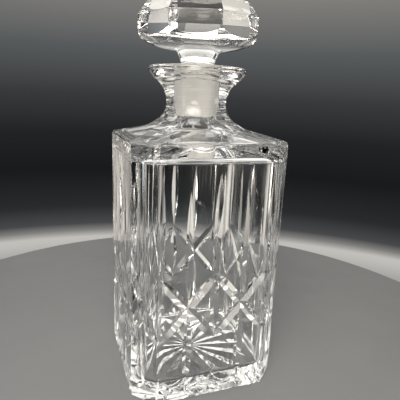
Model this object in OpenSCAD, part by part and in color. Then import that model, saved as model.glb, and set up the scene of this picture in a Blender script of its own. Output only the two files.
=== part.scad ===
// Square cut-crystal spirit decanter with a ground-in stopper.
// Millimetres. Origin at the centre of the underside, +Z up, front face at -Y.

/* [Body] */
// Width across two opposite faces
body_w = 90; // [86:1:96]
// Leg of the flat cut along each upright corner
corner_cut = 12; // [10:0.5:13]
// Height at which shoulder and faces would meet, before rounding
edge_z = 148; // [144:1:150]
// Radius that rounds the shoulder's outer edge
edge_round = 2.5; // [1.5:0.5:3]
// Bevel round the foot
foot_bevel = 1; // [0.5:0.5:1.5]

/* [Neck and lip] */
// Radius at the waist of the neck
waist_r = 17.7; // [17:0.1:19]
// Height of the waist
waist_z = 167.5; // [167:0.5:170]
// Radius of the hollow sweep from shoulder to waist and from waist to lip
sweep_r = 15; // [14:0.5:16]
// Radius of the lip
lip_r = 28.4; // [27.5:0.1:30]
// Height of the lip's top face
lip_z = 187.5; // [187:0.5:190]

/* [Hollow] */
// Thickness of the side walls
wall = 7; // [6:0.5:8]
// Radius of the hollow's upright corners
hollow_round = 10; // [8:1:12]
// Thickness of the foot
foot_t = 9.5; // [8:0.5:12]
// Height at which the hollow's roof would meet its walls, before rounding
roof_z = 139.5; // [136:0.5:140]
// Height of the throat, where the ground seat begins
throat_z = 157; // [156:0.5:158]
// Radius of the ground seat at the throat
seat_low_r = 7.9; // [7.5:0.1:8.2]
// Radius of the ground seat at the lip
seat_top_r = 9.3; // [9:0.1:9.6]

/* [Stopper] */
// Running clearance between plug and seat
clearance = 0.1; // [0.05:0.05:0.1]
// Largest radius of the turned head
head_r = 35.7; // [35:0.1:37]
// Distance from the axis to each upright facet
facet_d = 32.5; // [31.5:0.1:33.5]
// Height at which upright and slanted facets meet
ridge_z = 213; // [212:0.5:214]
// Angle of the slanted facets from level
facet_tilt = 57; // [54:1:60]
// Height of the top of the head
top_z = 227; // [226:0.5:228]

/* [Cutting] */
// Height of the points where the slanting cuts cross
crossing_z = 58; // [56:0.5:60]
// Height from a crossing to the points of its diamonds
diamond_h = 19.2; // [18:0.2:20]
// Distance from one diamond point to the next along a face
pitch = 32; // [31:0.5:33]
// Angle between the two sides of every cut
cut_angle = 115; // [105:1:118]
// Depth of the upright cuts
blade_depth = 1.6; // [1.2:0.1:1.7]
// Depth of the slanting cuts
mitre_depth = 1.8; // [1.2:0.1:1.8]
// Number of rays in the star under the foot
star_rays = 16; // [12:2:16]
// Depth of a ray at its inner end
star_depth = 1.4; // [1:0.1:2]
// Radius that the rays reach
star_len = 33; // [28:1:34]

/* [Hidden] */

turn_fn = 144;   // facets of a turned surface
wheel_fn = 720;  // facets of a large cutting wheel
arc_n = 8;       // points along a quarter turn of a profile
far = 75;        // sideways, beyond every surface
above = 240;     // upwards, beyond every surface

half = body_w / 2;
corner_d = (2 * half - corner_cut) / sqrt(2);  // axis to the flat of a corner
corner_run = corner_cut / sqrt(2) - 0.5;       // slanting cuts stop just short of the flat's edges
hollow_half = half - wall;

trumpet_r = 12.5;              // tighter sweep of the turned trumpet inside the flats
flat_waist = waist_r + 0.3;    // waist of the flats, which fade out below the neck
flare_end = 118;               // angle at which the upper sweep reaches the lip
lip_side = [[0.1, 3.1], [0, 1.6], [0.5, 0.5], [1.6, 0]];  // inset and drop of the lip's edge

roof_angle = 17;       // slope of the hollow's roof
roof_round = 3;        // radius where the roof meets the walls
floor_round = 4;       // radius where the floor meets the walls
funnel_r = 12;         // sweep from the roof into the throat
funnel_end = 250;      // angle at which that sweep meets the roof
mouth_bevel = 0.8;     // bevel at the top of the seat
core_low = foot_t + 20;   // start of the throat's cutter, inside the hollow
core_top = roof_z - 5;    // where that cutter widens into the roof

plug_low = throat_z + 0.5;    // underside of the plug
plug_bevel = 0.6;             // bevel round it
stem_low_r = 9.6;             // stem where it leaves the lip
stem_sweep = 13;              // radius of the stem's hollow sweep
stem_end = 138;               // angle at which that sweep meets the head
head_low_z = lip_z + 9.3;     // underside of the head
head_mid_z = head_low_z + 13.2;  // widest height of the head
under_power = 3;              // squareness of the head's lower half, 2 for an ellipse
crown_power = 2.2;            // squareness of its upper half

cross_u = pitch / 2;                 // crossings and the cuts above them
edge_u = pitch - 1;                  // cuts beside an upright corner
peak_z = crossing_z + diamond_h;     // top points of the diamonds
dip_z = crossing_z - diamond_h;      // bottom points of the diamonds
gap = 2;                             // clear height between one cut's point and the next
centre_top = edge_z - 15;            // tops of the upright cuts of a face
cross_top = edge_z - 23;
edge_top = edge_z - 16;
corner_top = edge_z - 30;            // top of the upright cut of a corner
foot_top = 20;                       // top of the cuts that rise from the foot
low_z = 4;                           // bottom of the cuts below the crossings
diamond_depth = blade_depth + 0.1;   // cuts in the diamonds and at the foot
cross_depth = blade_depth - 0.3;     // cuts above the crossings
corner_depth = blade_depth - 0.2;    // cuts of a corner
edge_depth = blade_depth - 0.6;      // cuts beside a corner
corner_mitre = mitre_depth - 0.3;    // slanting cuts of a corner

star_half_w = 1.2;     // half the width of a ray at its inner end
star_eye_r = 8;        // plain centre of the star
overrun = 1.5;         // how far a cutter reaches out of the glass

// Points of an arc about [x, z], from angle a to angle b
function arc(x, z, r, a, b) =
    let (n = max(2, ceil(arc_n * abs(b - a) / 90)))
    [for (i = [0 : n]) let (t = a + (b - a) * i / n) [x + r * cos(t), z + r * sin(t)]];

function without_first(list) = [for (i = [1 : len(list) - 1]) list[i]];
function mirrored(list) = [for (i = [len(list) - 1 : -1 : 0]) [-list[i][0], list[i][1]]];

// Slope of a shoulder that runs straight from the edge at distance d, tangent to the sweep
function shoulder_angle(d) =
    let (drop = waist_z - edge_z, run = d - flat_waist - sweep_r)
    acos(sweep_r / norm([drop, run])) - atan2(run, drop);

// Right half of the body's outline for a pair of flats at distance d
function body_outline(d) =
    let (a = shoulder_angle(d))
    concat(
        [[d - foot_bevel, 0], [d, foot_bevel]],
        arc(d - edge_round, edge_z - edge_round * (1 - sin(a)) / cos(a), edge_round, 0, 90 - a),
        arc(flat_waist + sweep_r, waist_z, sweep_r, 270 - a, 180),
        [[far, waist_z], [far, above]]
    );

// Right half of the hollow's outline for a pair of walls at distance d
function hollow_outline(d) =
    let (a = roof_angle)
    concat(
        arc(d - floor_round, foot_t + floor_round, floor_round, 270, 360),
        arc(d - roof_round, roof_z - roof_round * (1 - sin(a)) / cos(a), roof_round, 0, 90 - a),
        [[1, roof_z + (d - 1) * tan(a)]]
    );

function seat_r(z) = seat_low_r + (seat_top_r - seat_low_r) * (z - throat_z) / (lip_z - throat_z);

// A long prism with the given right half outline on both sides
module swept(points) {
    rotate([90, 0, 0])
        linear_extrude(2 * far, center = true)
            polygon(concat(points, mirrored(points)));
}

// Two crossing prisms: four flats or walls
module four_sided(points) {
    intersection() {
        swept(points);
        rotate([0, 0, 90]) swept(points);
    }
}

// Turned outside of shoulder, neck and lip
module turned_outside() {
    rotate_extrude($fn = turn_fn)
        polygon(concat(
            [[0, -overrun], [far, -overrun]],
            [[far, waist_z - trumpet_r]],
            arc(waist_r + trumpet_r, waist_z, trumpet_r, 270, 180),
            without_first(arc(waist_r + sweep_r, waist_z, sweep_r, 180, flare_end)),
            [for (p = lip_side) [lip_r - p[0], lip_z - p[1]]],
            [[0, lip_z]]
        ));
}

module outside() {
    intersection() {
        turned_outside();
        four_sided(body_outline(half));
        rotate([0, 0, 45]) four_sided(body_outline(corner_d));
    }
}

// Square hollow with rounded corners, round throat and ground seat
module hollow() {
    corner = hollow_half - hollow_round;
    intersection() {
        four_sided(hollow_outline(hollow_half));
        linear_extrude(above)
            polygon([for (k = [0 : 3], p = arc(corner, corner, hollow_round, 0, 90))
                [p[0] * cos(90 * k) - p[1] * sin(90 * k), p[0] * sin(90 * k) + p[1] * cos(90 * k)]]);
    }
    rotate_extrude($fn = turn_fn)
        polygon(concat(
            [[0, core_low], [seat_low_r, core_low], [seat_low_r, core_top]],
            arc(seat_low_r + funnel_r, throat_z, funnel_r, funnel_end, 180),
            [[seat_r(lip_z - mouth_bevel), lip_z - mouth_bevel]],
            [[seat_top_r + mouth_bevel + overrun, lip_z + overrun], [0, lip_z + overrun]]
        ));
}

// Cut left by a V-edged wheel on a surface at y = 0 with the glass at +y,
// centred on the origin and running along z
module wheel_cut(half_len, depth) {
    wheel_r = (half_len * half_len + depth * depth) / (2 * depth);
    reach = depth + overrun;
    sweep = asin((half_len + overrun) / wheel_r);
    translate([0, depth - wheel_r, 0])
        rotate([0, 90, 0])
            rotate([0, 0, 90 - sweep])
                rotate_extrude(angle = 2 * sweep, $fn = wheel_fn)
                    polygon([
                        [wheel_r - reach, -reach * tan(cut_angle / 2)],
                        [wheel_r, 0],
                        [wheel_r - reach, reach * tan(cut_angle / 2)]
                    ]);
}

// Upright cut between two heights
module blade(u, low, high, depth) {
    translate([u, 0, (low + high) / 2]) wheel_cut((high - low) / 2, depth);
}

// Slanting cut from the top of one diamond to the foot of the next, to the side given
module mitre(u, run, depth, side) {
    translate([u, 0, crossing_z])
        rotate([0, -side * atan2(run, diamond_h), 0])
            wheel_cut(norm([run, diamond_h]), depth);
}

// Cutting on one broad face
module face_cuts() {
    for (side = [-1, 1]) {
        for (lean = [-1, 1]) mitre(side * cross_u, cross_u, mitre_depth, lean);
        blade(side * cross_u, crossing_z + gap / 2, cross_top, cross_depth);
        blade(side * cross_u, low_z, crossing_z - gap, blade_depth);
        blade(side * edge_u, peak_z + gap, edge_top, edge_depth);
    }
    blade(0, peak_z + gap / 2, centre_top, blade_depth);
    for (k = [-1 : 1]) {
        blade(k * pitch, dip_z + gap, peak_z - gap, diamond_depth);
        blade(k * edge_u, -foot_top, foot_top, diamond_depth);
    }
}

// Cutting on the flat of one upright corner
module corner_cuts() {
    for (lean = [-1, 1]) mitre(0, corner_run, corner_mitre, lean);
    blade(0, crossing_z + gap, corner_top, corner_depth);
    blade(0, low_z + gap, crossing_z - 2 * gap, corner_depth);
}

// Star under the foot: separate V grooves, deepest at their inner ends, that rise to points
module star() {
    rise = atan2(star_depth, star_len - star_eye_r);
    low = star_depth + overrun;
    half_w = star_half_w * low / star_depth;
    for (i = [0 : star_rays - 1])
        rotate([0, 0, 360 * (i + 0.5) / star_rays])
            translate([0, star_eye_r, star_depth])
                rotate([90 + rise, 0, 180])
                    linear_extrude(star_len - star_eye_r + overrun)
                        polygon([[0, 0], [-half_w, -low], [half_w, -low]]);
}

module bottle() {
    color([0.86, 0.9, 0.9, 0.5])
    difference() {
        outside();
        hollow();
        for (k = [0 : 3])
            rotate([0, 0, 90 * k]) {
                translate([0, -half, 0]) face_cuts();
                rotate([0, 0, 45]) translate([0, -corner_d, 0]) corner_cuts();
            }
        star();
    }
}

// Quarter of the head's cushion outline, from its widest height to its crown or underside
function cushion(height, power) =
    [for (i = [0 : arc_n]) let (t = 90 * i / arc_n)
        [head_r * pow(cos(t), 2 / power), head_mid_z + height * pow(sin(t), 2 / power)]];

// Turned stopper: plug, stem and cushion head
module turned_stopper() {
    plug_low_r = seat_r(plug_low) - clearance;
    plug_top = lip_z - mouth_bevel;
    stem_r = stem_low_r + stem_sweep;
    underside = cushion(head_low_z - head_mid_z, under_power);
    stem = arc(stem_r, lip_z, stem_sweep, 180, stem_end);
    stem_top_r = stem_r + stem_sweep * cos(stem_end);
    rotate_extrude($fn = turn_fn)
        polygon(concat(
            [[0, plug_low], [plug_low_r - plug_bevel, plug_low], [plug_low_r, plug_low + plug_bevel]],
            [[seat_r(plug_top) - clearance, plug_top]],
            stem,
            [for (i = [arc_n : -1 : 1]) if (underside[i][0] > stem_top_r) underside[i]],
            cushion(top_z - head_mid_z, crown_power)
        ));
}

module stopper() {
    color([0.9, 0.93, 0.93, 0.5])
    difference() {
        turned_stopper();
        for (i = [0 : 7])
            rotate([0, 0, 45 * (i + 0.5)]) {
                translate([facet_d, -far, plug_low]) cube([far, 2 * far, above]);
                translate([facet_d, -far, ridge_z])
                    rotate([0, facet_tilt - 90, 0]) cube([far, 2 * far, far]);
            }
    }
}

bottle();
stopper();
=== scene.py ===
import math
import random

import bpy
from mathutils import Matrix, Vector


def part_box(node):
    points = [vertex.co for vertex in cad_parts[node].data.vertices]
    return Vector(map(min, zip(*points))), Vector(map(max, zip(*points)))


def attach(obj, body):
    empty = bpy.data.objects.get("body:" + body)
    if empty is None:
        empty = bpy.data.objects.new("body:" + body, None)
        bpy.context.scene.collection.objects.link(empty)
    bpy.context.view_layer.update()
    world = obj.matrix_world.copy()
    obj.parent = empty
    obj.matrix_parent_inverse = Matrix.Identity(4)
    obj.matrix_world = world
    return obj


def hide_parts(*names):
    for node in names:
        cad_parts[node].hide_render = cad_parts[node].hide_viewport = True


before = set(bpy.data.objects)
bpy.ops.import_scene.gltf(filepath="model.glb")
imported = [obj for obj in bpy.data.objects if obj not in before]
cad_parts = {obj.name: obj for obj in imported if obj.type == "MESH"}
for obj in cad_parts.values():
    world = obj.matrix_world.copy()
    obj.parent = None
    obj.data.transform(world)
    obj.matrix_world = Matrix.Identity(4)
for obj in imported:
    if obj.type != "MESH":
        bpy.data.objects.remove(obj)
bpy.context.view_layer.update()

# ---------------------------------------------------------------- sizes, in metres
MM = 0.001
BOTTLE_LOW, BOTTLE_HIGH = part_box("bottle")
STOPPER_LOW, STOPPER_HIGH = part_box("stopper")
HALF = BOTTLE_HIGH.x                    # axis to a broad face
LIP_Z = BOTTLE_HIGH.z
PLUG_Z = STOPPER_LOW.z
TOP_Z = STOPPER_HIGH.z

CORNER_CUT = 12 * MM                    # leg of the flat along each upright corner
CORNER_D = (2 * HALF - CORNER_CUT) / math.sqrt(2)
CORNER_HALF = CORNER_CUT / math.sqrt(2)
EDGE_Z = LIP_Z - 39.5 * MM              # where shoulder and faces would meet
EDGE_ROUND = 2.5 * MM
FOOT_BEVEL = 1 * MM

WAIST_R = 17.7 * MM
FLAT_WAIST = WAIST_R + 0.3 * MM         # the flats pass the waist just outside it
WAIST_Z = LIP_Z - 20 * MM
SWEEP_R = 15 * MM                       # from waist to lip, and from the flats to the waist
TRUMPET_R = 12.5 * MM                   # from waist to shoulder
FLARE_END = 118                         # degrees, where the sweep meets the lip
LIP_R = 28.4 * MM
LIP_EDGE = 3.1 * MM                     # height of the lip's edge
LIP_TAPER = 0.1 * MM
LIP_ROUND = 1.5 * MM

WALL = 7 * MM
HOLLOW_HALF = HALF - WALL
HOLLOW_ROUND = 10 * MM                  # upright corners of the hollow
FOOT_T = 9.5 * MM
FLOOR_ROUND = 5 * MM
ROOF_Z = LIP_Z - 48 * MM                # where the hollow's roof would meet its walls
ROOF_ANGLE = 17
ROOF_ROUND = 4 * MM
FUNNEL_R = 12 * MM
FUNNEL_END = 253
THROAT_Z = PLUG_Z - 0.5 * MM
SEAT_LOW_R = 7.9 * MM
SEAT_TOP_R = 9.3 * MM
MOUTH_BEVEL = 0.8 * MM
RIPPLE = 0.05 * MM                      # waviness of the blown inside

CLEARANCE = 0.1 * MM
PLUG_BEVEL = 0.6 * MM
STEM_LOW_R = 9.6 * MM
STEM_SWEEP = 13 * MM
STEM_END = 138
HEAD_R = 35.7 * MM
HEAD_LOW_Z = LIP_Z + 9.3 * MM
HEAD_MID_Z = HEAD_LOW_Z + 13.2 * MM
UNDER_POWER, CROWN_POWER = 3.0, 2.2     # squareness of the cushion head's two halves
FACETS = 8                              # round the head, upright and again slanting
FACET_D = 32.5 * MM
RIDGE_Z = LIP_Z + 25.5 * MM
FACET_TILT = 57

PITCH = 32 * MM                         # from one diamond point to the next
EDGE_U = PITCH - 1 * MM                 # from the middle of a face to the cuts beside its corners
CROSSING_Z = 58 * MM
DIAMOND_H = 19.2 * MM
PEAK_Z = CROSSING_Z + DIAMOND_H         # top points of the diamonds
DIP_Z = CROSSING_Z - DIAMOND_H          # bottom points of the diamonds
GAP = 2 * MM                            # clear height between one cut's point and the next
CENTRE_TOP = EDGE_Z - 15 * MM           # tops of the upright cuts of a face
CROSS_TOP = EDGE_Z - 23 * MM
EDGE_TOP = EDGE_Z - 16 * MM
CORNER_TOP = EDGE_Z - 30 * MM           # top of the upright cut of a corner
FOOT_TOP = 20 * MM                      # top of the cuts that rise from the foot
LOW_Z = 4 * MM                          # bottom of the cuts below the crossings
CUT_ANGLE = 115                         # between the two sides of a cut
BLADE_DEPTH = 1.6 * MM                  # upright cuts
DIAMOND_DEPTH = BLADE_DEPTH + 0.1 * MM  # upright cuts in the diamonds and at the foot
CROSS_DEPTH = BLADE_DEPTH - 0.3 * MM    # upright cuts above the crossings
CORNER_DEPTH = BLADE_DEPTH - 0.2 * MM   # upright cuts of a corner
EDGE_DEPTH = BLADE_DEPTH - 0.6 * MM     # upright cuts beside a corner
MITRE_DEPTH = 1.8 * MM                  # slanting cuts
CORNER_MITRE = MITRE_DEPTH - 0.3 * MM   # slanting cuts of a corner
MITRE_EVEN = 0.6                        # share of a slanting cut that keeps its full width
STAR_RAYS = 16
STAR_DEPTH = 2 * MM
STAR_LEN = 40 * MM
STAR_EVEN = 0.68
STAR_ANGLE = 145                        # wide, so that the rays meet ridge to ridge

OVERRUN = 1.5 * MM                      # how far a cutter reaches out of the glass
FAR = 80 * MM                           # beyond every surface
TURN_STEPS = 192                        # round a turned surface
ARC_STEP = 3                            # degrees between points of an outline's arc
CUSHION_STEPS = 44                      # along a quarter of the head's outline
EDGE_POLISH = 0.35 * MM                 # radius that acid polishing leaves along the cuts
SHARP_ANGLE = 7                         # degrees; flatter joins are shaded as one smooth surface
TONE_SCALE = 35                         # of the noise that varies the tone of the glass
POLISH_SCALE = 60                       # of the noise that varies its polish
WHEEL_STEPS = 28                        # along one cut
WHEEL_END = 1.03                        # share of a cut's length at which its cutter ends, out of the glass
WALL_LEVELS = 36                        # up the hollow's wall
ROUND_STEPS = 20                        # round one corner of the hollow
SIDE_STEPS = 6                          # along one side of the hollow
HAND = random.Random(11)                # the cutter's hand: small differences between cuts
# How far the hand strays in length, depth, height and sideways, and in lean, which is in degrees
BLADE_STRAY = {"length": 0.5 * MM, "depth": 0.08 * MM, "height": 0.3 * MM, "side": 0.25 * MM, "lean": 0.6}
MITRE_STRAY = {"length": 0.25 * MM, "depth": 0.06 * MM, "height": 0.2 * MM, "lean": 0.4}


# ---------------------------------------------------------------- outlines
def arc(x, z, radius, start, end):
    """Points of an arc about (x, z), from one angle to the other, in degrees."""
    count = max(2, math.ceil(abs(end - start) / ARC_STEP))
    angles = [math.radians(start + (end - start) * i / count) for i in range(count + 1)]
    return [(x + radius * math.cos(a), z + radius * math.sin(a)) for a in angles]


def mirrored(points):
    return [(-x, z) for x, z in reversed(points)]


def shoulder_angle(d):
    """Slope of a shoulder that runs from the edge at distance d, tangent to the sweep of the flats."""
    run = d - FLAT_WAIST - SWEEP_R
    drop = WAIST_Z - EDGE_Z
    return math.acos(SWEEP_R / math.hypot(drop, run)) - math.atan2(run, drop)


def body_outline(d):
    """Right half of the body's outline for a pair of flats at distance d from the axis."""
    a = shoulder_angle(d)
    edge_drop = EDGE_ROUND * (1 - math.sin(a)) / math.cos(a)
    slope = math.degrees(a)
    return [
        (d - FOOT_BEVEL, 0), (d, FOOT_BEVEL),
        *arc(d - EDGE_ROUND, EDGE_Z - edge_drop, EDGE_ROUND, 0, 90 - slope),
        *arc(FLAT_WAIST + SWEEP_R, WAIST_Z, SWEEP_R, 270 - slope, 180),
        (FAR, WAIST_Z), (FAR, TOP_Z),
    ]


def seat_radius(z):
    return SEAT_LOW_R + (SEAT_TOP_R - SEAT_LOW_R) * (z - THROAT_Z) / (LIP_Z - THROAT_Z)


def cushion(height, power):
    """Quarter of the head's outline, from its widest height to its crown or underside."""
    angles = [math.radians(90 * i / CUSHION_STEPS) for i in range(CUSHION_STEPS + 1)]
    return [
        (HEAD_R * max(math.cos(a), 0) ** (2 / power), HEAD_MID_Z + height * math.sin(a) ** (2 / power))
        for a in angles
    ]


# ---------------------------------------------------------------- solids
def make_object(name, verts, faces):
    mesh = bpy.data.meshes.new(name)
    mesh.from_pydata(verts, [], faces)
    mesh.validate()
    obj = bpy.data.objects.new(name, mesh)
    bpy.context.scene.collection.objects.link(obj)
    return obj


def loft(name, rings):
    """Closed solid through rings of equal length, from bottom to top, flat at both ends."""
    count = len(rings[0])
    verts = [p for ring in rings for p in ring]
    faces = [tuple(reversed(range(count)))]
    for r in range(len(rings) - 1):
        for i in range(count):
            j = (i + 1) % count
            faces.append((r * count + i, r * count + j, (r + 1) * count + j, (r + 1) * count + i))
    faces.append(tuple(range((len(rings) - 1) * count, len(rings) * count)))
    return make_object(name, verts, faces)


def turned(name, outline, steps=TURN_STEPS):
    """Solid of revolution; the outline runs upwards and stays off the axis."""
    turns = [2 * math.pi * i / steps for i in range(steps)]
    return loft(name, [[(r * math.cos(t), r * math.sin(t), z) for t in turns] for r, z in outline])


def swept(name, outline, angle):
    """Long prism with a mirrored outline, its length along Y, then turned about Z."""
    section = outline + mirrored(outline)
    rings = [[(x, y, z) for x, z in section] for y in (FAR, -FAR)]
    prism = loft(name, rings)
    prism.data.transform(Matrix.Rotation(math.radians(angle), 4, "Z"))
    return prism


def combine(target, tool, operation):
    """Applies one boolean and removes the tool."""
    modifier = target.modifiers.new("combine", "BOOLEAN")
    modifier.operation = operation
    modifier.solver = "MANIFOLD"
    modifier.object = tool
    bpy.context.view_layer.update()
    evaluated = target.evaluated_get(bpy.context.evaluated_depsgraph_get())
    mesh = bpy.data.meshes.new_from_object(evaluated)
    target.modifiers.clear()
    old = target.data
    target.data = mesh
    bpy.data.meshes.remove(old)
    tool_mesh = tool.data
    bpy.data.objects.remove(tool)
    bpy.data.meshes.remove(tool_mesh)


# ---------------------------------------------------------------- cutting wheels
def wheel_cut(half_len, depth, even=0.0, angle=CUT_ANGLE):
    """Cut left by a V-edged wheel on a surface at y = 0 with the glass at +y, running along z.

    The wheel runs at full depth over the even share of the length, and then rises to a point."""
    slope = math.tan(math.radians(angle / 2))
    rings = []
    for i in range(WHEEL_STEPS + 1):
        share = WHEEL_END * (2 * i / WHEEL_STEPS - 1)
        rise = max(0, abs(share) - even) / (1 - even)
        deep = depth * (1 - rise ** 2)
        half_w = (deep + OVERRUN) * slope
        section = [(-half_w, -OVERRUN), (half_w, -OVERRUN), (0, deep)]
        rings.append([(x, y, share * half_len) for x, y in section])
    return loft("wheel_cut", rings)


def place(tool, lean, u, z, distance, turn):
    """Leans a cut in its face, moves it to its place there and turns the face about Z."""
    matrix = (
        Matrix.Rotation(math.radians(turn), 4, "Z")
        @ Matrix.Translation((u, -distance, z))
        @ Matrix.Rotation(math.radians(lean), 4, "Y")
    )
    tool.data.transform(matrix)


def stray(amount):
    """A chance difference of up to the amount either way."""
    return HAND.uniform(-amount, amount)


def blade(target, u, low, high, depth, distance, turn):
    """Upright cut between two heights."""
    half_len = (high - low) / 2 + stray(BLADE_STRAY["length"])
    tool = wheel_cut(half_len, depth + stray(BLADE_STRAY["depth"]))
    middle = (low + high) / 2 + stray(BLADE_STRAY["height"])
    lean = stray(BLADE_STRAY["lean"])
    place(tool, lean, u + stray(BLADE_STRAY["side"]), middle, distance, turn)
    combine(target, tool, "DIFFERENCE")


def mitre(target, u, run, depth, side, distance, turn):
    """Slanting cut from the top of one diamond to the foot of the next."""
    longer = MITRE_STRAY["length"]
    half_len = math.hypot(run, DIAMOND_H) + longer + stray(longer)
    tool = wheel_cut(half_len, depth + stray(MITRE_STRAY["depth"]), MITRE_EVEN)
    lean = -side * math.degrees(math.atan2(run, DIAMOND_H)) + stray(MITRE_STRAY["lean"])
    place(tool, lean, u, CROSSING_Z + stray(MITRE_STRAY["height"]), distance, turn)
    combine(target, tool, "DIFFERENCE")


def cut_face(target, turn):
    """Cuts one broad face, turned about Z from the front."""
    cross_u = PITCH / 2
    for side in (-1, 1):
        for lean in (-1, 1):
            mitre(target, side * cross_u, cross_u, MITRE_DEPTH, lean, HALF, turn)
        blade(target, side * cross_u, CROSSING_Z + GAP / 2, CROSS_TOP, CROSS_DEPTH, HALF, turn)
        blade(target, side * cross_u, LOW_Z, CROSSING_Z - GAP, BLADE_DEPTH, HALF, turn)
        blade(target, side * EDGE_U, PEAK_Z + GAP, EDGE_TOP, EDGE_DEPTH, HALF, turn)
    blade(target, 0, PEAK_Z + GAP / 2, CENTRE_TOP, BLADE_DEPTH, HALF, turn)
    for k in (-1, 0, 1):
        blade(target, k * PITCH, DIP_Z + GAP, PEAK_Z - GAP, DIAMOND_DEPTH, HALF, turn)
        blade(target, k * EDGE_U, -FOOT_TOP, FOOT_TOP, DIAMOND_DEPTH, HALF, turn)


def cut_corner(target, turn):
    """Cuts the flat of one upright corner, turned about Z from the front."""
    run = CORNER_HALF - 0.5 * MM
    for lean in (-1, 1):
        mitre(target, 0, run, CORNER_MITRE, lean, CORNER_D, turn)
    blade(target, 0, CROSSING_Z + 1.5 * GAP, CORNER_TOP, CORNER_DEPTH, CORNER_D, turn)
    blade(target, 0, LOW_Z + GAP, CROSSING_Z - 2 * GAP, CORNER_DEPTH, CORNER_D, turn)


def cut_star(target):
    """Wheel cuts right across the underside, deepest where they cross at the centre."""
    for i in range(STAR_RAYS // 2):
        tool = wheel_cut(STAR_LEN, STAR_DEPTH, STAR_EVEN, STAR_ANGLE)
        turn = Matrix.Rotation(2 * math.pi * (i + 0.5) / STAR_RAYS, 4, "Z")
        tool.data.transform(turn @ Matrix.Rotation(math.radians(90), 4, "X"))
        combine(target, tool, "DIFFERENCE")


# ---------------------------------------------------------------- bottle
def outside():
    upper = arc(WAIST_R + SWEEP_R, WAIST_Z, SWEEP_R, 180, FLARE_END)
    rounding = arc(LIP_R - LIP_ROUND, LIP_Z - LIP_ROUND, LIP_ROUND, 0, 90)
    edge = [(LIP_R - LIP_TAPER, LIP_Z - LIP_EDGE), *rounding]
    body = turned("bottle_glass", [
        (FAR, -MM), (FAR, WAIST_Z - TRUMPET_R),
        *arc(WAIST_R + TRUMPET_R, WAIST_Z, TRUMPET_R, 270, 180),
        *upper[1:], *edge,
    ])
    for distance, first in ((HALF, 0), (CORNER_D, 45)):
        for angle in (first, first + 90):
            combine(body, swept("flats", body_outline(distance), angle), "INTERSECT")
    return body


def rounded_square(half, radius, z):
    """Ring of a square with rounded corners; it is a circle where radius equals half."""
    ring = []
    side = half - radius
    for quarter in range(4):
        turn = math.radians(90 * quarter)
        for i in range(ROUND_STEPS + 1):
            a = math.radians(90 * i / ROUND_STEPS)
            x, y = side + radius * math.cos(a), side + radius * math.sin(a)
            ring.append((x * math.cos(turn) - y * math.sin(turn), x * math.sin(turn) + y * math.cos(turn), z))
        for i in range(1, SIDE_STEPS):
            along = side - 2 * side * i / SIDE_STEPS
            ring.append((along * math.cos(turn) - half * math.sin(turn),
                         along * math.sin(turn) + half * math.cos(turn), z))
    return ring


def rippled(point):
    """Moves a point of the hollow's wall in or out a little, as blown glass lies."""
    x, y, z = point
    height = z - FOOT_T
    if not 0 < height < ROOF_Z - FOOT_T:
        return point
    fade = min(1, height / (12 * MM)) * min(1, (ROOF_Z - z) / (8 * MM))
    turn = math.atan2(y, x)
    wave = math.sin(z / (9 * MM) + 1.7 * math.sin(2 * turn)) + 0.7 * math.sin(z / (17 * MM) - 3 * turn)
    wave += 0.6 * math.sin(5 * turn + z / (23 * MM))
    grow = 1 + fade * RIPPLE * wave / HOLLOW_HALF
    return (x * grow, y * grow, z)


def hollow():
    """Square inside with rounded corners, drawn in to the round throat and the ground seat."""
    a = math.radians(ROOF_ANGLE)
    roof_drop = ROOF_ROUND * (1 - math.sin(a)) / math.cos(a)
    wall_top = ROOF_Z - roof_drop
    wall_low = FOOT_T + FLOOR_ROUND
    outline = [
        (0.6 * HOLLOW_HALF, FOOT_T),
        *arc(HOLLOW_HALF - FLOOR_ROUND, wall_low, FLOOR_ROUND, 270, 360),
        *[(HOLLOW_HALF, wall_low + (wall_top - wall_low) * i / WALL_LEVELS) for i in range(1, WALL_LEVELS)],
        *arc(HOLLOW_HALF - ROOF_ROUND, wall_top, ROOF_ROUND, 0, 90 - ROOF_ANGLE),
        *arc(SEAT_LOW_R + FUNNEL_R, THROAT_Z, FUNNEL_R, FUNNEL_END, 180),
        (seat_radius(LIP_Z - MOUTH_BEVEL), LIP_Z - MOUTH_BEVEL),
        (SEAT_TOP_R + MOUTH_BEVEL, LIP_Z + 0.2 * MM),
        (SEAT_TOP_R + MOUTH_BEVEL, LIP_Z + MM),
    ]
    funnel_top = SEAT_LOW_R + FUNNEL_R * (1 + math.cos(math.radians(FUNNEL_END)))
    rings = []
    for half, z in outline:
        opening = max(0, (HOLLOW_HALF - half) / (HOLLOW_HALF - funnel_top)) if z > wall_low else 0
        radius = HOLLOW_ROUND + (funnel_top - HOLLOW_ROUND) * opening
        rings.append([rippled(p) for p in rounded_square(half, min(half, radius), z)])
    return loft("hollow", rings)


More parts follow.
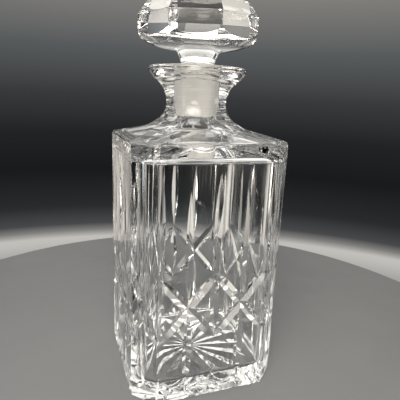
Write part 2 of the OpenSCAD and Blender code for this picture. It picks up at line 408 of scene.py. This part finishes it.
# ---------------------------------------------------------------- stopper
def stopper():
    plug_low_r = seat_radius(PLUG_Z) - CLEARANCE
    plug_top = LIP_Z - MOUTH_BEVEL
    stem_r = STEM_LOW_R + STEM_SWEEP
    stem_top = stem_r + STEM_SWEEP * math.cos(math.radians(STEM_END))
    underside = [p for p in reversed(cushion(HEAD_LOW_Z - HEAD_MID_Z, UNDER_POWER)[1:]) if p[0] > stem_top]
    crown = [p for p in cushion(TOP_Z - HEAD_MID_Z, CROWN_POWER) if p[0] > MM]
    piece = turned("stopper_glass", [
        (plug_low_r - PLUG_BEVEL, PLUG_Z), (plug_low_r, PLUG_Z + PLUG_BEVEL),
        (seat_radius(plug_top) - CLEARANCE, plug_top),
        *arc(stem_r, LIP_Z, STEM_SWEEP, 180, STEM_END),
        *underside, *crown,
    ])
    section = [(0, -FAR), (FAR, -FAR), (FAR, FAR), (0, FAR)]
    block = [[(x, y, z) for x, y in section] for z in (-FAR, FAR)]
    for i in range(FACETS):
        turn = Matrix.Rotation(2 * math.pi * (i + 0.5) / FACETS, 4, "Z")
        for tilt in (0, FACET_TILT - 90):
            tool = loft("facet_cut", block)
            lean = Matrix.Rotation(math.radians(tilt), 4, "Y")
            tool.data.transform(turn @ Matrix.Translation((FACET_D, 0, RIDGE_Z)) @ lean)
            combine(piece, tool, "DIFFERENCE")
    return piece


# ---------------------------------------------------------------- materials
def node_tree(name):
    material = bpy.data.materials.new(name)
    material.use_nodes = True
    tree = material.node_tree
    tree.nodes.clear()
    return material, tree


def noise(tree, scale, detail=3, squeeze=1.0):
    """Noise in the object's own space; squeeze above 1 flattens it into level rings."""
    coords = tree.nodes.new("ShaderNodeTexCoord")
    mapping = tree.nodes.new("ShaderNodeMapping")
    mapping.inputs["Scale"].default_value = (1, 1, squeeze)
    texture = tree.nodes.new("ShaderNodeTexNoise")
    texture.inputs["Scale"].default_value = scale
    texture.inputs["Detail"].default_value = detail
    tree.links.new(coords.outputs["Object"], mapping.inputs["Vector"])
    tree.links.new(mapping.outputs["Vector"], texture.inputs["Vector"])
    return texture.outputs["Fac"]


def spread(tree, value, low, high):
    """Maps a noise, which lies about 0.5, to a range."""
    ranged = tree.nodes.new("ShaderNodeMapRange")
    ranged.inputs["From Min"].default_value = 0.3
    ranged.inputs["From Max"].default_value = 0.7
    ranged.inputs["To Min"].default_value = low
    ranged.inputs["To Max"].default_value = high
    tree.links.new(value, ranged.inputs["Value"])
    return ranged.outputs["Result"]


def shade(tree, value, dark, light):
    mix = tree.nodes.new("ShaderNodeMix")
    mix.data_type = "RGBA"
    mix.inputs["A"].default_value = (*dark, 1)
    mix.inputs["B"].default_value = (*light, 1)
    tree.links.new(value, mix.inputs["Factor"])
    return mix.outputs["Result"]


def bump(tree, height, distance):
    """Small relief on the surface, with every edge shaded as rounded by polishing."""
    edges = tree.nodes.new("ShaderNodeBevel")
    edges.samples = 4
    edges.inputs["Radius"].default_value = EDGE_POLISH
    node = tree.nodes.new("ShaderNodeBump")
    node.inputs["Distance"].default_value = distance
    tree.links.new(height, node.inputs["Height"])
    tree.links.new(edges.outputs["Normal"], node.inputs["Normal"])
    return node.outputs["Normal"]


def glass(name, ior, transmission, tones, roughness, grain, relief, lit_through, squeeze=1.0):
    """Glass whose tone, polish and surface vary.

    Grain and relief are the scale and height of its surface, and lit_through is how much light from
    the panels passes it."""
    material, tree = node_tree(name)
    surface = tree.nodes.new("ShaderNodeBsdfPrincipled")
    surface.inputs["IOR"].default_value = ior
    surface.inputs["Transmission Weight"].default_value = transmission
    tone = spread(tree, noise(tree, TONE_SCALE, squeeze=squeeze), 0, 1)
    polish = spread(tree, noise(tree, POLISH_SCALE, detail=4), *roughness)
    tree.links.new(shade(tree, tone, *tones), surface.inputs["Base Color"])
    tree.links.new(polish, surface.inputs["Roughness"])
    tree.links.new(bump(tree, noise(tree, grain), relief), surface.inputs["Normal"])
    through = tree.nodes.new("ShaderNodeBsdfTransparent")
    through.inputs["Color"].default_value = (lit_through, lit_through, lit_through, 1)
    path = tree.nodes.new("ShaderNodeLightPath")
    mix = tree.nodes.new("ShaderNodeMixShader")
    output = tree.nodes.new("ShaderNodeOutputMaterial")
    tree.links.new(path.outputs["Is Shadow Ray"], mix.inputs["Fac"])
    tree.links.new(surface.outputs["BSDF"], mix.inputs[1])
    tree.links.new(through.outputs["BSDF"], mix.inputs[2])
    tree.links.new(mix.outputs["Shader"], output.inputs["Surface"])
    return material


def crystal():
    tones = ((0.975, 0.985, 0.985), (1, 1, 1))
    return glass("crystal", 1.545, 1.0, tones, roughness=(0.0, 0.018), grain=90, relief=0.02 * MM,
                 lit_through=0.8)


def ground_glass():
    """Matt glass with faint level grinding rings."""
    tones = ((0.9, 0.885, 0.855), (1, 0.99, 0.965))
    return glass("ground_glass", 1.5, 0.12, tones, roughness=(0.5, 0.68), grain=2500, relief=0.04 * MM,
                 lit_through=0.98, squeeze=30)


def is_ground(face, low, high):
    """True for a face of the seat or plug, which stand upright close to the axis."""
    z = face.center.z
    radius = math.hypot(face.center.x, face.center.y)
    return low < z < high and radius < SEAT_TOP_R + 0.1 * MM and abs(face.normal.z) < 0.5


def finish_glass(piece, low, high):
    """Smooth curves, crisp cuts, and the ground band between two heights."""
    mesh = piece.data
    mesh.materials.clear()
    mesh.materials.append(CRYSTAL)
    mesh.materials.append(GROUND)
    for face in mesh.polygons:
        face.use_smooth = True
        face.material_index = 1 if is_ground(face, low, high) else 0
    mesh.set_sharp_from_angle(angle=math.radians(SHARP_ANGLE))
    weighted = piece.modifiers.new("weighted_normals", "WEIGHTED_NORMAL")
    weighted.keep_sharp = True
    weighted.weight = 50


# ---------------------------------------------------------------- the decanter
CRYSTAL = crystal()
GROUND = ground_glass()

bottle = outside()
combine(bottle, hollow(), "DIFFERENCE")
for quarter in range(4):
    cut_face(bottle, 90 * quarter)
    cut_corner(bottle, 90 * quarter + 45)
cut_star(bottle)
finish_glass(bottle, THROAT_Z, LIP_Z - MOUTH_BEVEL / 2)
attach(bottle, "bottle")
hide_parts("bottle")

plug = stopper()
finish_glass(plug, PLUG_Z - MM, LIP_Z - MOUTH_BEVEL / 2)
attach(plug, "stopper")
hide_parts("stopper")


# ---------------------------------------------------------------- stage
FLOOR_R = 245 * MM
FLOOR_T = 12 * MM
FLOOR_EDGE, FLOOR_BEVEL = 1.5 * MM, 1 * MM
FLOOR_STEPS = 128
FLOOR_GAP = 0.05 * MM                   # keeps the floor off the underside of the foot
FLOOR_TONES = ((0.19, 0.2, 0.212), (0.216, 0.224, 0.236))
FLOOR_ROUGHNESS = (0.42, 0.55)
WARM, COOL = (1.0, 0.94, 0.85), (0.90, 0.95, 1.0)
# Upright strips stand between the directions that the usual views look in, so that none is straight
# behind the glass. Low cards stand just outside the straight view, and the sides of the cuts bend them
# into sight. The glints are low panels that the upper sides of the slanting cuts mirror. A place is the
# distance and height of a panel's middle, and a size is its width and length, in metres.
STRIP_AT, STRIP_SIZE = (0.7, 0.26), (0.2, 0.75)
CARD_AT, CARD_SIZE = (0.7, -0.06), (0.32, 0.4)
# Name, azimuth in degrees from +X towards +Y, place, size, strength and colour of each light panel
PANELS = (
    ("strip_22", 22, STRIP_AT, STRIP_SIZE, 0.35, WARM),
    ("strip_116", 116, STRIP_AT, STRIP_SIZE, 0.3, COOL),
    ("strip_157", 157, STRIP_AT, STRIP_SIZE, 2.4, COOL),
    ("strip_203", 203, STRIP_AT, STRIP_SIZE, 1.8, WARM),
    ("strip_292", 292, STRIP_AT, STRIP_SIZE, 0.4, WARM),
    ("strip_338", 338, STRIP_AT, STRIP_SIZE, 2.4, WARM),
    ("card_45", 45, CARD_AT, CARD_SIZE, 1.0, WARM),
    ("card_97", 97, CARD_AT, CARD_SIZE, 0.9, WARM),
    ("near_glint", 243, (0.64, 0.15), (0.42, 0.22), 9, WARM),
    ("side_glint", 334, (0.7, 0.06), (0.34, 0.26), 6.5, WARM),
    ("key", 240, (0.62, 0.62), (0.8, 0.8), 12.5, WARM),
)
DARK_TINT, LIGHT_TINT = (0.90, 0.96, 1.0), (1.0, 0.97, 0.92)
DARK_GREY = 0.2                         # backdrop greys below this take the dark tint
# Grey of the backdrop at each height above the horizon, in degrees
BACKDROP = (
    (-25, 0.10), (-20, 0.50), (-19.2, 0.55), (-18.4, 0.24), (-17.4, 0.07), (-15, 0.025), (-10, 0.011),
    (-5, 0.018), (0, 0.044), (6, 0.11), (12, 0.21), (22, 0.55), (32, 1.2), (90, 1.2),
)


def make_floor():
    outline = [(FLOOR_R, -FLOOR_T), (FLOOR_R, -FLOOR_EDGE), (FLOOR_R - FLOOR_BEVEL, -FLOOR_GAP)]
    disc = turned("floor", outline, FLOOR_STEPS)
    material, tree = node_tree("pale_floor")
    surface = tree.nodes.new("ShaderNodeBsdfPrincipled")
    output = tree.nodes.new("ShaderNodeOutputMaterial")
    tree.links.new(shade(tree, noise(tree, 12, detail=5), *FLOOR_TONES), surface.inputs["Base Color"])
    tree.links.new(spread(tree, noise(tree, 30), *FLOOR_ROUGHNESS), surface.inputs["Roughness"])
    tree.links.new(surface.outputs["BSDF"], output.inputs["Surface"])
    disc.data.materials.append(material)


def make_world():
    """Plain studio surround: dark behind the object, light above, the same all the way round."""
    world = bpy.data.worlds.new("studio")
    world.use_nodes = True
    tree = world.node_tree
    tree.nodes.clear()
    coords = tree.nodes.new("ShaderNodeTexCoord")
    split = tree.nodes.new("ShaderNodeSeparateXYZ")
    angle = tree.nodes.new("ShaderNodeMath")
    angle.operation = "ARCSINE"
    ranged = tree.nodes.new("ShaderNodeMapRange")
    low, high = BACKDROP[0][0], BACKDROP[-1][0]
    ranged.inputs["From Min"].default_value = math.radians(low)
    ranged.inputs["From Max"].default_value = math.radians(high)
    ramp = tree.nodes.new("ShaderNodeValToRGB")
    background = tree.nodes.new("ShaderNodeBackground")
    output = tree.nodes.new("ShaderNodeOutputWorld")
    stops = ramp.color_ramp.elements
    while len(stops) < len(BACKDROP):
        stops.new(0.5)
    for stop, (height, _) in zip(stops, BACKDROP):
        stop.position = (height - low) / (high - low)
    for stop, (_, grey) in zip(stops, BACKDROP):
        tint = DARK_TINT if grey < DARK_GREY else LIGHT_TINT
        stop.color = (*[grey * part for part in tint], 1)
    tree.links.new(coords.outputs["Generated"], split.inputs["Vector"])
    tree.links.new(split.outputs["Z"], angle.inputs[0])
    tree.links.new(angle.outputs["Value"], ranged.inputs["Value"])
    tree.links.new(ranged.outputs["Result"], ramp.inputs["Fac"])
    tree.links.new(ramp.outputs["Color"], background.inputs["Color"])
    tree.links.new(background.outputs["Background"], output.inputs["Surface"])
    world.cycles_visibility.diffuse = False     # only the panels light the floor
    bpy.context.scene.world = world


def edge_fade(tree, coordinate, half):
    """1 at a panel's middle line, falling smoothly to 0 at its edge."""
    share = tree.nodes.new("ShaderNodeMath")
    share.operation = "DIVIDE"
    share.inputs[1].default_value = half
    tree.links.new(coordinate, share.inputs[0])
    square = tree.nodes.new("ShaderNodeMath")
    square.operation = "MULTIPLY"
    tree.links.new(share.outputs["Value"], square.inputs[0])
    tree.links.new(share.outputs["Value"], square.inputs[1])
    fade = tree.nodes.new("ShaderNodeMath")
    fade.operation = "SUBTRACT"
    fade.inputs[0].default_value = 1
    fade.use_clamp = True
    tree.links.new(square.outputs["Value"], fade.inputs[1])
    return fade.outputs["Value"]


def softbox(name, azimuth, at, size, strength, colour):
    """Soft-edged light panel aimed at the decanter, which the camera does not see directly."""
    distance, height = at
    w, h = size[0] / 2, size[1] / 2
    panel = make_object(name, [(-w, -h, 0), (w, -h, 0), (w, h, 0), (-w, h, 0)], [(0, 1, 2, 3)])
    a = math.radians(azimuth)
    place_at = Vector((distance * math.cos(a), distance * math.sin(a), height))
    aim = Vector((0, 0, LIP_Z / 2)) - place_at
    panel.matrix_world = Matrix.Translation(place_at) @ aim.to_track_quat("Z", "Y").to_matrix().to_4x4()
    material, tree = node_tree(name)
    coords = tree.nodes.new("ShaderNodeTexCoord")
    split = tree.nodes.new("ShaderNodeSeparateXYZ")
    product = tree.nodes.new("ShaderNodeMath")
    product.operation = "MULTIPLY"
    scaled = tree.nodes.new("ShaderNodeMath")
    scaled.operation = "MULTIPLY"
    scaled.inputs[1].default_value = strength
    emission = tree.nodes.new("ShaderNodeEmission")
    emission.inputs["Color"].default_value = (*colour, 1)
    output = tree.nodes.new("ShaderNodeOutputMaterial")
    tree.links.new(coords.outputs["Object"], split.inputs["Vector"])
    tree.links.new(edge_fade(tree, split.outputs["X"], w), product.inputs[0])
    tree.links.new(edge_fade(tree, split.outputs["Y"], h), product.inputs[1])
    tree.links.new(product.outputs["Value"], scaled.inputs[0])
    tree.links.new(scaled.outputs["Value"], emission.inputs["Strength"])
    tree.links.new(emission.outputs["Emission"], output.inputs["Surface"])
    panel.data.materials.append(material)
    panel.visible_camera = False


def make_lights():
    for panel in PANELS:
        softbox(*panel)


# ---------------------------------------------------------------- camera
LENS, SENSOR = 36.6, 36
EYE = Vector((-0.0818, -0.2350, 0.1706))
YAW, PITCH_DOWN, ROLL = 20.28, 14.12, 2.42


def make_camera():
    camera = bpy.data.cameras.new("camera")
    camera.lens = LENS
    camera.sensor_width = SENSOR
    camera.clip_start = 0.01
    obj = bpy.data.objects.new("camera", camera)
    yaw, down = math.radians(YAW), math.radians(PITCH_DOWN)
    forward = Vector((math.sin(yaw) * math.cos(down), math.cos(yaw) * math.cos(down), -math.sin(down)))
    upright = forward.to_track_quat("-Z", "Y").to_matrix().to_4x4()
    obj.matrix_world = Matrix.Translation(EYE) @ upright @ Matrix.Rotation(math.radians(ROLL), 4, "Z")
    bpy.context.scene.collection.objects.link(obj)
    bpy.context.scene.camera = obj


def set_look():
    scene = bpy.context.scene
    scene.view_settings.view_transform = "Standard"
    scene.cycles.max_bounces = 32
    scene.cycles.transmission_bounces = 28
    scene.cycles.glossy_bounces = 10
    scene.cycles.transparent_max_bounces = 24
    scene.cycles.caustics_refractive = False
    scene.cycles.sample_clamp_indirect = 6
    scene.cycles.use_denoising = True


make_floor()
make_world()
make_lights()
make_camera()
set_look()
